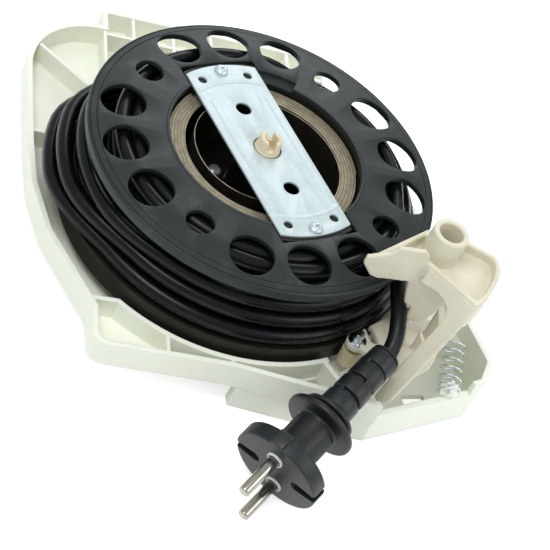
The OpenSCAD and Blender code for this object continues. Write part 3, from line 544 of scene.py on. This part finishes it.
def make_plug(mats):
    """Moulding with its slots, key and grips, the two pins and the collars at their feet."""
    base = plug_lathe_base()
    m = mats["plug"]
    head = lathe("plug_head", rounded(
        [(0, 0), (19.5, 0), (19.5, -7.2), (11.4, -7.2), (8.9, -9.6), (8.7, -26), (15.5, -26),
         (15.5, -29), (8.9, -29), (8.9, -31.5), (11.5, -31.5), (11.5, -33.5), (8.6, -33.5),
         (8.4, -NECK_LEN), (0, -NECK_LEN)],
        [0, 0.9, 0.9, 1.0, 2.5, 1.2, 1.3, 1.3, 0.8, 0.6, 0.9, 0.9, 0.5, 0.6, 0], 4),
        m, 120, base)
    frame_m = plug_matrix()
    cutters = []
    for s in (-1, 1):
        # side slot with a round inner end, seen in the face
        arc = [(10.6 + x, y) for x, y in arc_points(2.7, 90, 270, 16)]
        shape = [(s * x, y) for x, y in [(21, 1.6)] + arc + [(21, -1.6)]]
        cutters.append(extrude(f"slot{s}", shape, -9, 1.5, m, frame_m @ ALONG_X))
        cutters.append(lathe(f"seat{s}", [(0, -2), (3.65, -2), (3.65, 3), (0, 3)], m, 40,
                             pin_base(s)))
        cutters.append(lathe(f"bore{s}", [(0, -8), (2.27, -8), (2.27, 3), (0, 3)], m, 40,
                             pin_base(s)))
    cut(head, *cutters)
    key = extrude("plug_key", rounded([(-3, 18.2), (3, 18.2), (3, 20.8), (-3, 20.8)], 0.5), -7.1,
                  -0.1, m, frame_m @ ALONG_X)
    bevelled(key, 0.0004, 2)
    grips = []
    for s in (-1, 1):
        grips.append(curved_pad(f"grip{s}", frame_m, 8.62, 9.15, -24.2, -11.5, 90 * (1 - s), 34,
                                mats["grip"]))
    body = join("plug_body", [head, key] + grips)
    shade(body, 38)
    place(body, "housing", "cord_black", "plug_moulding")

    pins = []
    for s in (-1, 1):
        pins.append(lathe(f"pin{s}", rounded(
            [(0, PIN_LEN), (PIN_R, PIN_LEN), (PIN_R, 1.2), (2.2, 1.2), (2.2, -8), (0, -8)],
            [0, 1.3, 0.1, 0, 0, 0], 5), mats["nickel"], 48, pin_base(s), 50))
    place(join("plug_pin_pair", pins), "housing", "brass", "plug_pins")

    collars = []
    for s in (-1, 1):
        collars.append(lathe(f"collar{s}", rounded(
            [(2.27, -0.4), (2.95, -0.4), (3.05, 0.9), (3.6, 0.9), (3.6, -1.9), (2.27, -1.9)],
            [0, 0.2, 0.2, 0.3, 0, 0], 3),
            mats["white"], 48, pin_base(s), 40))
    place(join("pin_sockets", collars), "housing", "white_plastic", "pin_collars")
    return body


def curved_pad(name, base, r0, r1, x0, x1, mid, half, mat):
    """A thin pad with fine cross ribs that wraps part of the neck, in the plug frame."""
    verts, faces = [], []
    na, nx = 14, 26
    for layer in (0, 1):
        for i in range(nx + 1):
            x = x0 + (x1 - x0) * i / nx
            for k in range(na + 1):
                a = math.radians(mid - half + 2 * half * k / na)
                edge = min(i, nx - i, k, na - k)
                r = r0 if layer == 0 or edge == 0 else r1 - (0.22 if i % 2 else 0)
                verts.append((x * MM, r * MM * math.cos(a), r * MM * math.sin(a)))
    w = na + 1
    base_n = (nx + 1) * w
    for i in range(nx):
        for k in range(na):
            q = i * w + k
            faces.append((q, q + w, q + w + 1, q + 1))
            faces.append((base_n + q, base_n + q + 1, base_n + q + w + 1, base_n + q + w))
    mesh = bpy.data.meshes.new(name)
    mesh.from_pydata(verts, [], faces)
    mesh.transform(base)
    return finish_mesh(name, mesh, mat, 30)


def make_relief(mats):
    """The strain relief: four tapering rings with slots between them, bridged in turn."""
    base = plug_lathe_base()
    frame_m = plug_matrix()
    m = mats["plug"]
    profile = [(0, -35.3), (5.4, -35.3)]
    corner = [0, 0]
    part = (PLUG_LEN - NECK_LEN) / 4
    for i in range(4):
        r = 7.6 - i / 3
        x0, x1 = NECK_LEN + i * part, NECK_LEN + (i + 1) * part - 1.5
        profile += [(r, -x0), (r - 0.15, -x1), (5.4, -x1 - 0.1), (5.4, -x1 - 1.4)]
        corner += [0.8, 0.9, 0.3, 0.3]
    profile[-1] = (5.4, -PLUG_LEN + 0.9)
    profile += [(6.2, -PLUG_LEN + 0.8), (6.2, -PLUG_LEN), (0, -PLUG_LEN)]
    corner += [0.4, 0.5, 0]
    body = lathe("relief", rounded(profile, corner, 3), m, 72, base)
    bar = rounded([(-2.6, 4.6), (2.6, 4.6), (2.6, 6.6), (-2.6, 6.6)], 0.5)
    bridges = []
    for i in range(3):
        x = -(NECK_LEN + (i + 1) * part - 0.75)
        for s in (0, 180):
            turn = Matrix.Rotation(math.radians(s + 90 * (i % 2) + 40), 4, "X")
            bridges.append(extrude(f"bridge{i}{s}", bar, x - 1.1, x + 1.1, m,
                                   frame_m @ turn @ ALONG_X))
    o = join("relief_sleeve", [body] + bridges)
    shade(o, 38)
    return place(o, "housing", "cord_black", "strain_relief")


# ---- Drum ----

# (distance from the axis, radius) of each hole; every fourth is small
FLANGE_HOLES = [(62.0, 9.5) if i % 4 else (58.7, 6.05) for i in range(16)]
FIRST_HOLE = 57.3
# (radius, height of the bottom) of the fine grooves near the rim
GROOVES = ((72.1, 61.2), (74.8, 60.5))
GROOVE_HALF = 0.17
PLATE_TURN = -66.9
PLATE_WIDTH = 34.4


def make_flange(mats):
    """The upper flange with its holes, the plate's notches, a ledge and two fine grooves."""
    m = mats["flange"]
    profile = rounded(
        [(42, 64), (43.2, 64), (43.4, 63.7), (62, 63.95), (75.9, 60.7), (75.9, 56.6),
         (73.5, 56.6), (73.5, 58.3), (62, 61.6), (42, 61.6)],
        [0.4, 0.2, 0.2, 2.5, 0.6, 0.4, 0.4, 0.3, 1, 0.4], 3)
    o = lathe("flange_disc", profile, m, 180, None, 30)
    cutters = []
    for i, (r_at, r) in enumerate(FLANGE_HOLES):
        spot = turn_z(FIRST_HOLE + 22.5 * i) @ at(r_at, 0, 0)
        cutters.append(lathe(f"hole{i}", [(0, 55), (r, 55), (r, 70), (0, 70)], m, 64, spot))
    for s in (0, 180):
        half = PLATE_WIDTH / 2 + 0.8
        cutters.append(extrude(f"notch{s}", rounded([(20, -half), (49, -half - 0.2),
                                                     (50.0, 0), (49, half + 0.2), (20, half)],
                                                    [0, 0.6, 60, 0.6, 0]),
                               60.6, 70, m, turn_z(PLATE_TURN + s)))
    # shallow ledge beside the far notch
    ledge = arc_points(47.2, 22, 44, 8) + arc_points(40.5, 44, 22, 8)
    cutters.append(extrude("ledge", ledge, 61.9, 70, m, turn_z(PLATE_TURN + 180 - 66)))
    cut(o, *cutters)
    bevelled(o, 0.0003, 2, 50)
    cut(o, *[lathe(f"groove{r}", [(r - GROOVE_HALF, z), (r + GROOVE_HALF, z),
                                  (r + GROOVE_HALF, z + 3), (r - GROOVE_HALF, z + 3)], m, 180)
             for r, z in GROOVES])
    shade(o, 30)
    o.name = "top_flange"
    return place(o, "drum", "drum_black", "upper_flange")


def make_bridge(mats):
    """The steel strip across the drum, with its holes, pressed grooves and creases."""
    m = mats["zinc_sheet"]
    frame_p = turn_z(PLATE_TURN)
    ends = [p for s in (0, 180) for p in arc_points(48, -20.9, 20.9, 15, s)]
    plate = extrude("plate", ends, 63, 64, m, frame_p)
    holes = [(0, 0, 6.25), (22.5, 0, 3.5), (-22.5, 0, 3.5)]
    holes += [(x, y, 2.0) for x in (-40.6, 40.6) for y in (-11.2, 11.2)]
    holes += [(x, 0, 1.55) for x in (-44.6, 44.6)]
    cut(plate, *[lathe(f"h{i}", [(0, 60), (r, 60), (r, 67), (0, 67)], m, 48, frame_p @ at(x, y, 0))
                 for i, (x, y, r) in enumerate(holes)])
    bevelled(plate, 0.00018, 2)
    ribs = []
    for y in (-13.2, 13.2):
        line = [frame_p @ Vector((x * MM, y * MM, 0.06395)) for x in np.linspace(-28.5, 28.5, 20)]
        ribs.append(tube(f"groove{y}", line, 0.0005, m, 10, flat=0.5))
    for s in (0, 180):
        line = [turn_z(PLATE_TURN + s) @ Vector((x * MM, y * MM, 0.06385))
                for x, y in arc_points(38, -24.6, 24.6, 24)]
        ribs.append(tube(f"crease{s}", line, 0.0011, m, 10, flat=0.33))
    o = join("bridge_strip", [plate] + ribs)
    shade(o, 35)
    return place(o, "drum", "steel", "bridge_plate")


def screw_head(name, base, mat, r=3.0, h=1.8, shank=5.0, shank_r=1.5):
    """A pan head with a cross recess; its underside lies at the base's z = 0."""
    o = lathe(name, rounded([(0, h), (r * 0.62, h), (r, h * 0.45), (r, 0), (shank_r, 0),
                             (shank_r, -shank), (0, -shank)], [0, 1.2, 0.7, 0.25, 0, 0.3, 0], 4),
              mat, 40, base)
    arms = []
    for a in (0, 90):
        arms.append(extrude(f"{name}_arm{a}", rounded([(-r * 0.45, -0.28), (r * 0.45, -0.28),
                                                       (r * 0.45, 0.28), (-r * 0.45, 0.28)], 0.2),
                            h - 0.7, h + 1, mat, base @ turn_z(a)))
    cut(o, *arms)
    shade(o, 40)
    return o


def make_screws(mats):
    """The strip's two screws and the three on the drum's floor."""
    o = join("strip_screws", [screw_head(f"bridge_screw{s}", turn_z(PLATE_TURN + s)
                                         @ at(44.6, 0, 64) @ turn_z(20 + s), mats["zinc"],
                                         shank=5.8) for s in (0, 180)])
    shade(o, 40)
    place(o, "drum", "steel", "bridge_screws")
    o = join("ring_screws", [screw_head(f"carrier_screw{a}", turn_z(a) @ at(20, 0, 29),
                                        mats["zinc"], shank=5.0) for a in (120, 240, 360)])
    shade(o, 40)
    place(o, "drum", "steel", "carrier_screws")


def make_spiral(mats):
    """The clock spring: many tight turns, then loose ones in to the arbor's slot."""
    step, thick, tight = 0.49, 0.36, 15
    outer = 41.35
    inner_end = 11.6
    z0, z1 = 35.0, 59.5
    per = 72
    verts, faces = [], []
    tight_r = outer - tight * step
    loose = 1.25
    total = int(per * (tight + loose))
    for i in range(total + 1):
        n = i / per
        a = 2 * math.pi * n
        if n < tight:
            r = outer - n * step
        else:
            u = (n - tight) / loose
            # the first loose turn springs out near the pack, the rest runs in to the arbor
            r = tight_r - (tight_r - inner_end) * (0.35 * u + 0.65 * u ** 3)
        wave = 0.12 * math.sin(3 * a + 0.7)
        for rr in (r + thick / 2, r - thick / 2):
            for z in (z0, z1 + (wave if n < tight else 0) - (0.12 if n < tight else 0)):
                verts.append((rr * MM * math.cos(a), rr * MM * math.sin(a), z * MM))
    for i in range(total):
        q = 4 * i
        for a, b in ((0, 1), (1, 3), (3, 2), (2, 0)):
            faces.append((q + a, q + b, q + 4 + b, q + 4 + a))
    faces.append((0, 1, 3, 2))
    q = 4 * total
    faces.append((q, q + 2, q + 3, q + 1))
    o = mesh_object("clock_spring", verts, faces, mats["band"], 40)
    o.data.materials.append(mats["band_edge"])
    for face in o.data.polygons:
        face.material_index = 1 if face.normal.z > 0.7 else 0
    return place(o, "drum", "spring_steel", "spiral_spring")


def make_axle(mats):
    """The spindle with its screwed foot and its split top."""
    m = mats["axle"]
    profile = rounded(
        [(0, 7), (17, 7), (17, 10), (10, 10), (10, 15.4), (7, 15.4), (7, 62), (5.5, 62),
         (5.5, 64.3), (5.2, 64.3), (4.75, 69.8), (2.8, 69.8), (2.8, 62.8), (0, 62.8)],
        [0, 0.3, 0.6, 0.4, 0.4, 0, 0.4, 0.2, 0.2, 0.3, 1.0, 0.5, 0.3, 0], 3)
    o = lathe("spindle", profile, m, 72)
    slot = extrude("prong_gap", rounded([(-1.6, 65.8), (1.6, 65.8), (1.6, 72), (-1.6, 72)],
                                        [0.7, 0.7, 0, 0]), -8, 8, m,
                   UPRIGHT)
    holes = [lathe(f"foot_hole{a}", [(0, 5), (1.55, 5), (1.55, 12), (0, 12)], m, 32,
                   turn_z(a) @ at(13.5, 0, 0)) for a in (30, 150, 270)]
    cut(o, slot, *holes)
    shade(o, 35)
    return place(o, "housing", "tray_cream", "axle")


# ---- Lever, springs ----

LEVER_PIVOT = (64.3, -54.0)
# Direction of the lever's slanting side
SLANT_TURN = -44.24


def make_lever(mats):
    """The lever with a thick boss, a wide lower plate and its small upright ribs."""
    mat = mats["lever"]
    px, py = LEVER_PIVOT
    extra = [lathe("boss", [(5.45, 74.6), (7.6, 74.6), (7.6, 89.5), (5.45, 89.5)], mat, 64,
                   at(px, py, 0)),
             extrude("plate", [(65, -50.5), (70, -47.5), (80, -50.5), (83, -64), (76.5, -76),
                               (67, -83.5), (66, -70)], 31.05, 34.15, mat)]
    extra.append(extrude("tab", [(52.6, 72.5), (55.1, 62), (57.4, 54.4), (60.2, 53.2),
                                 (61.3, 51.5), (61.3, 47.2), (62.3, 45.6), (64.2, 44.9),
                                 (69, 44.8), (70, 60), (70, 72.5)], -63, -61, mat, UPRIGHT))
    for x, y, top in ((75.3, -58.5, 19), (68.2, -67.7, 13)):
        extra.append(extrude("upright", [(0, 0), (8.6, 0), (8.6, 5), (0, top)], -0.8, 0.8, mat,
                             at(x, y, 32) @ turn_z(SLANT_TURN) @ UPRIGHT))
    o = join("lever", [copy_node("brake_lever", "lever", mat)] + extra)
    m = o.modifiers.new("voxel", "REMESH")
    m.mode = "VOXEL"
    m.voxel_size = 0.00045
    m.adaptivity = 0
    s = o.modifiers.new("soften", "SMOOTH")
    s.factor = 0.5
    s.iterations = 5
    d = o.modifiers.new("lighter", "DECIMATE")
    d.ratio = 0.35
    apply_modifiers(o)
    o.data.materials.clear()
    o.data.materials.append(mats["lever"])
    shade(o, 60)
    o.name = "brake_arm"
    return place(o, "lever", "lever_cream", "brake_lever")


def make_tray_ribs(mats):
    """Two more of the tray's ribs: the lobe's end wall and a short one by the left wall."""
    ribs = []
    for a, b in (((-55, 101), (-55, 68)), ((-89.5, 25.7), (-80, 25.7))):
        a, b = Vector(a), Vector(b)
        side = 0.8 * Vector((a.y - b.y, b.x - a.x)).normalized()
        ribs.append(extrude("rib", [a + side, b + side, b - side, a - side], 11.8, 23.5,
                            mats["tray"]))
    return place(join("tray_ribs", ribs), "housing", "tray_cream")


def helix(centre, axis, radius, length, turns, start, close=0.75, per=16, seat=0.0):
    """A coil whose first and last turns lie close, in mm."""
    axis = Vector(axis).normalized()
    side = axis.cross(Vector((0, 0, 1)))
    side = side.normalized() if side.length > 1e-6 else Vector((1, 0, 0))
    other = side.cross(axis)
    pts = []
    count = int(turns * per)
    for i in range(count + 1):
        n = i / per
        a = math.radians(start) + 2 * math.pi * n
        u = min(max((n - close) / (turns - 2 * close), 0), 1)
        rise = seat + length * (0.04 * min(n / close, 1) + 0.92 * u
                                + 0.04 * min(max((n - turns + close) / close, 0), 1))
        pts.append((Vector(centre) + radius * (math.cos(a) * side + math.sin(a) * other)
                    + rise * axis) * MM)
    return pts


# The low wall at the front right, from which the return spring's peg stands inward
LOW_FROM, LOW_TO = Vector((57.5, -93.2)), Vector((101.8, -73.5))
PEG_ALONG, PEG_INWARD, PEG_Z = 36.5, 1.3, 20
COIL_LEAN = (1.9, 19.3, 8)


def make_return_spring(mats):
    """The compression spring on its peg, its far end loose."""
    along = (LOW_TO - LOW_FROM).normalized()
    inward = Vector((-along.y, along.x))
    spot = LOW_FROM + PEG_ALONG * along + PEG_INWARD * inward
    axis = Vector(COIL_LEAN).normalized()
    centre = Vector((spot.x, spot.y, PEG_Z)) + 0.4 * axis
    o = tube("return_coil", helix(centre, axis, 4.7, 21, 6.5, 90, seat=0.7), 0.00032,
             mats["chrome"], 10)
    return place(o, "housing", "steel", "return_spring")


def make_lever_spring(mats):
    """The torsion spring round the lever's pin, with a short and a long leg."""
    z0, pitch, r = 38.4, 1.25, 3.4
    px, py = LEVER_PIVOT
    route = []
    for x in np.linspace(-5, -1, 5):
        route.append(Vector((px + x, py - r, z0)) * MM)
    turns = 3
    for i in range(24 * turns + 1):
        a = math.radians(270 + 15 * i)
        route.append(Vector((px + r * math.cos(a), py + r * math.sin(a),
                             z0 + pitch * i / 24)) * MM)
    for x in np.linspace(1, 9, 9):
        route.append(Vector((px + x, py - r, z0 + pitch * turns + 0.58 * max(x - 3, 0))) * MM)
    o = tube("lever_coil", route, 0.0004, mats["steel"], 10)
    return place(o, "housing", "steel", "lever_spring")


# ---- Stage ----

FLOOR_HALF, FLOOR_Z = 6.0, -0.0002
FLOOR_GREY, FLOOR_GLOW = 0.82, 0.6
WORLD_COLOUR = (0.93, 0.975, 1, 1)
WORLD_LIGHT, WORLD_SEEN = 0.7, 1.0
# Name, place, target, size and power of each lamp
LAMPS = (("key", (-0.5, -0.25, 1.3), (0, 0, 0.03), 0.7, 7.8),
         ("fill", (0.9, -0.6, 0.9), (0, 0, 0.03), 0.9, 4.6),
         ("rim", (0.3, 1.2, 0.8), (0, 0, 0.05), 0.7, 4.2))


def make_stage():
    """A pale floor that glows a little for the camera and in reflections, and takes shadows."""
    floor = bpy.data.meshes.new("floor")
    corners = ((-1, -1), (1, -1), (1, 1), (-1, 1))
    floor.from_pydata([(FLOOR_HALF * x, FLOOR_HALF * y, FLOOR_Z) for x, y in corners],
                      [], [(0, 1, 2, 3)])
    m = bpy.data.materials.new("floor")
    m.use_nodes = True
    nt = m.node_tree
    shader = nt.nodes["Principled BSDF"]
    shader.inputs["Base Color"].default_value = (FLOOR_GREY, FLOOR_GREY, FLOOR_GREY, 1)
    shader.inputs["Roughness"].default_value = 0.9
    shader.inputs["Specular IOR Level"].default_value = 0.1
    path = nt.nodes.new("ShaderNodeLightPath")
    glow = nt.nodes.new("ShaderNodeEmission")
    glow.inputs["Color"].default_value = (1, 1, 1, 1)
    add = nt.nodes.new("ShaderNodeAddShader")
    seen = nt.nodes.new("ShaderNodeMath")
    seen.operation = "MAXIMUM"
    nt.links.new(path.outputs["Is Camera Ray"], seen.inputs[0])
    nt.links.new(path.outputs["Is Glossy Ray"], seen.inputs[1])
    level = nt.nodes.new("ShaderNodeMath")
    level.operation = "MULTIPLY"
    level.inputs[1].default_value = FLOOR_GLOW
    nt.links.new(seen.outputs[0], level.inputs[0])
    nt.links.new(level.outputs[0], glow.inputs["Strength"])
    nt.links.new(shader.outputs[0], add.inputs[0])
    nt.links.new(glow.outputs[0], add.inputs[1])
    nt.links.new(add.outputs[0], nt.nodes["Material Output"].inputs["Surface"])
    floor.materials.append(m)
    o = bpy.data.objects.new("floor", floor)
    bpy.context.scene.collection.objects.link(o)


def area_light(name, place_at, target, size, power):
    data = bpy.data.lights.new(name, "AREA")
    data.shape = "DISK"
    data.size = size
    data.energy = power
    o = bpy.data.objects.new(name, data)
    bpy.context.scene.collection.objects.link(o)
    o.location = place_at
    o.rotation_euler = (Vector(target) - Vector(place_at)).to_track_quat("-Z", "Y").to_euler()


def make_light():
    """The lamps, and a world that lights softly and shows white behind the part."""
    world = bpy.data.worlds.new("world")
    bpy.context.scene.world = world
    world.use_nodes = True
    nt = world.node_tree
    back = nt.nodes["Background"]
    path = nt.nodes.new("ShaderNodeLightPath")
    seen = nt.nodes.new("ShaderNodeMath")
    seen.operation = "MAXIMUM"
    nt.links.new(path.outputs["Is Camera Ray"], seen.inputs[0])
    nt.links.new(path.outputs["Is Transmission Ray"], seen.inputs[1])
    back.inputs["Color"].default_value = WORLD_COLOUR
    nt.links.new(ramp(nt, seen.outputs[0], 0, 1, WORLD_LIGHT, WORLD_SEEN),
                 back.inputs["Strength"])
    for lamp in LAMPS:
        area_light(*lamp)


# ---- Whole scene ----

# CAD nodes that are shown as they are, with the finish of each
DRESSED = (("tray", "tray"), ("axle_screws", "zinc"), ("thrust_washer", "white"),
           ("spring_arbor", "steel"), ("brush_holder", "brown"), ("holder_screws", "zinc"),
           ("contact_brushes", "copper"), ("power_tabs", "brass"),
           ("lever_pivot_pin", "steel"), ("pivot_clip", "zinc"), ("drum_hub", "hub"),
           ("slip_ring_carrier", "brown"), ("slip_rings", "copper"),
           ("roller_pin", "chrome"), ("roller_clip", "chrome"), ("brake_roller", "rubber"))


def dress(node, mat):
    mesh = NODES[node].data
    mesh.materials.clear()
    mesh.materials.append(mat)
    mesh.set_sharp_from_angle(angle=math.radians(35))


def main():
    make_camera()
    mats = make_materials()
    lead, route = make_lead(mats)
    make_winding(mats)
    body = make_plug(mats)
    sleeve = make_relief(mats)
    make_flange(mats)
    make_bridge(mats)
    make_screws(mats)
    make_spiral(mats)
    make_axle(mats)
    make_lever(mats)
    make_tray_ribs(mats)
    make_return_spring(mats)
    make_lever_spring(mats)
    for node, finish in DRESSED:
        dress(node, mats[finish])
    make_stage()
    make_light()
    bpy.context.scene.view_settings.view_transform = "Standard"


main()
